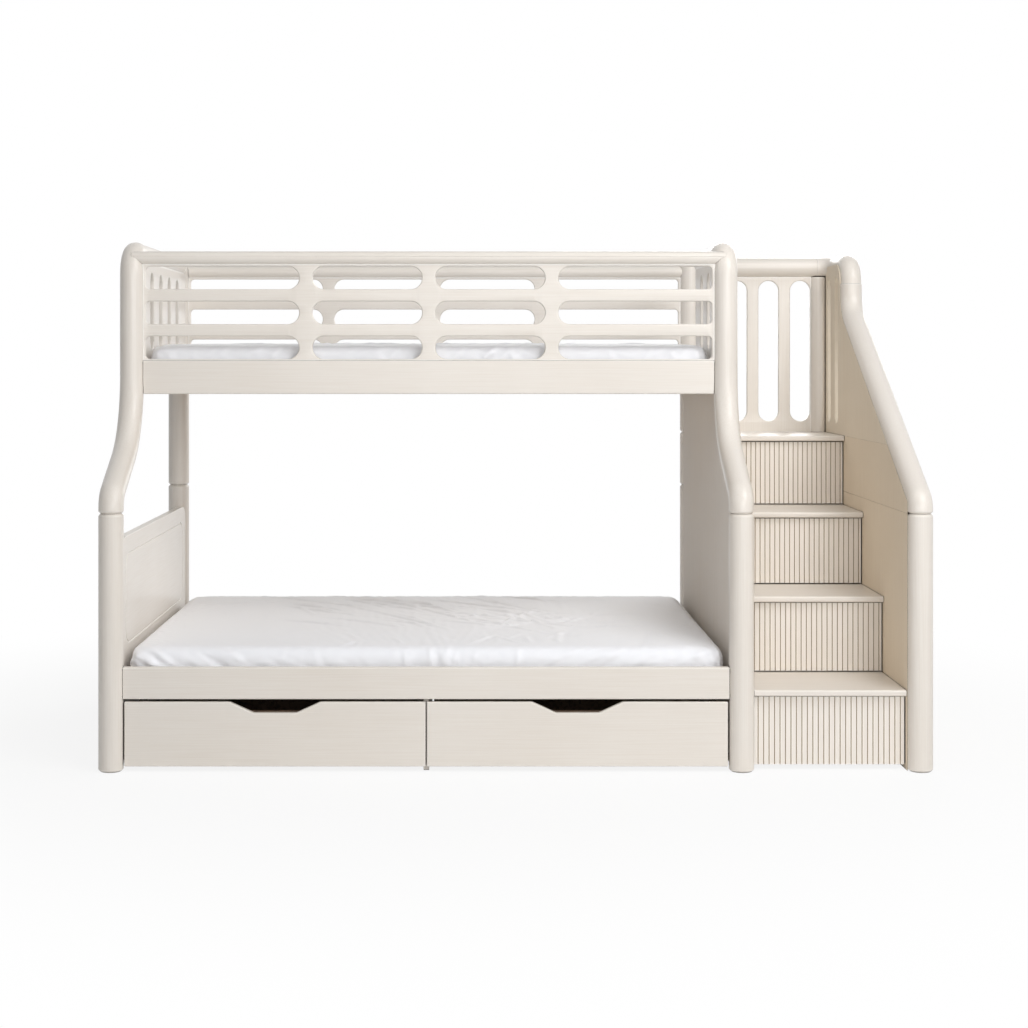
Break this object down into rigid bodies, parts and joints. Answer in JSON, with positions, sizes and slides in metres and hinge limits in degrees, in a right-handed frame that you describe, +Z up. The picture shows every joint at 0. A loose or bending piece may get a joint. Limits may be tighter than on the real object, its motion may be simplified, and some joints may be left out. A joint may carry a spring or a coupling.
{
  "type": "bunk bed with stairs",
  "caption": "Wide lower bed and set-back upper bed on swept round posts with pierced guards, storage drawers below and a drawer stair rising to a railed landing.",
  "frame": {"origin": "on the floor, under the middle of the whole bed and its stair", "axes": "+X along the bed towards the stair end, -Y towards the front where the drawers open, +Z up"},
  "size_m": [2.66, 1.478, 1.713],
  "materials": {
    "cream_lacquered_wood": "satin cream lacquer with faint brushed grain",
    "bare_wood": "planed and unlacquered",
    "mattress_cover": "white woven cotton sheet"
  },
  "bodies": {
    "bed_frame": {"back_guard": "cream_lacquered_wood", "back_left_leg": "cream_lacquered_wood", "back_left_post": "cream_lacquered_wood", "back_right_leg": "cream_lacquered_wood", "back_right_post": "cream_lacquered_wood", "back_top_rail": "cream_lacquered_wood", "centre_beam": "bare_wood", "drawer_partition": "bare_wood", "drawer_runners": "bare_wood", "front_guard": "cream_lacquered_wood", "front_left_leg": "cream_lacquered_wood", "front_left_post": "cream_lacquered_wood", "front_right_leg": "cream_lacquered_wood", "front_right_post": "cream_lacquered_wood", "front_top_rail": "cream_lacquered_wood", "headboard": "cream_lacquered_wood", "landing": "cream_lacquered_wood", "landing_back_guard": "cream_lacquered_wood", "landing_back_rail": "cream_lacquered_wood", "landing_corner_post": "cream_lacquered_wood", "landing_side_guard": "cream_lacquered_wood", "left_end_rail": "cream_lacquered_wood", "left_guard": "cream_lacquered_wood", "lower_back_rail": "cream_lacquered_wood", "lower_front_rail": "cream_lacquered_wood", "lower_mattress": "mattress_cover", "lower_slats": "bare_wood", "post_dowels": "bare_wood", "right_end_rail": "cream_lacquered_wood", "right_guard": "cream_lacquered_wood", "slat_ledgers": "bare_wood", "stair_back_panel": "bare_wood", "stair_handrail": "cream_lacquered_wood", "stair_left_panel": "cream_lacquered_wood", "stair_leg": "cream_lacquered_wood", "stair_side_panel": "cream_lacquered_wood", "stair_side_upper_panel": "cream_lacquered_wood", "tread_1": "cream_lacquered_wood", "tread_2": "cream_lacquered_wood", "tread_3": "cream_lacquered_wood", "upper_back_rail": "cream_lacquered_wood", "upper_front_rail": "cream_lacquered_wood", "upper_left_rail": "cream_lacquered_wood", "upper_mattress": "mattress_cover", "upper_right_rail": "cream_lacquered_wood", "upper_slats": "bare_wood"},
    "left_drawer": {"left_drawer_front": "cream_lacquered_wood", "left_drawer_box": "bare_wood"},
    "right_drawer": {"right_drawer_front": "cream_lacquered_wood", "right_drawer_box": "bare_wood"},
    "stair_drawer_1": {"stair_drawer_1_front": "cream_lacquered_wood", "stair_drawer_1_box": "bare_wood"},
    "stair_drawer_2": {"stair_drawer_2_front": "cream_lacquered_wood", "stair_drawer_2_box": "bare_wood"},
    "stair_drawer_3": {"stair_drawer_3_front": "cream_lacquered_wood", "stair_drawer_3_box": "bare_wood"},
    "stair_drawer_4": {"stair_drawer_4_front": "cream_lacquered_wood", "stair_drawer_4_box": "bare_wood"}
  },
  "joints": [
    {"name": "left_drawer_slide", "type": "slide", "parent": "bed_frame", "child": "left_drawer", "axis": [0, -1, 0], "range_m": [0, 0.45]},
    {"name": "right_drawer_slide", "type": "slide", "parent": "bed_frame", "child": "right_drawer", "axis": [0, -1, 0], "range_m": [0, 0.45]},
    {"name": "stair_drawer_1_slide", "type": "slide", "parent": "bed_frame", "child": "stair_drawer_1", "axis": [0, -1, 0], "range_m": [0, 0.26]},
    {"name": "stair_drawer_2_slide", "type": "slide", "parent": "bed_frame", "child": "stair_drawer_2", "axis": [0, -1, 0], "range_m": [0, 0.26]},
    {"name": "stair_drawer_3_slide", "type": "slide", "parent": "bed_frame", "child": "stair_drawer_3", "axis": [0, -1, 0], "range_m": [0, 0.26]},
    {"name": "stair_drawer_4_slide", "type": "slide", "parent": "bed_frame", "child": "stair_drawer_4", "axis": [0, -1, 0], "range_m": [0, 0.26]}
  ]
}
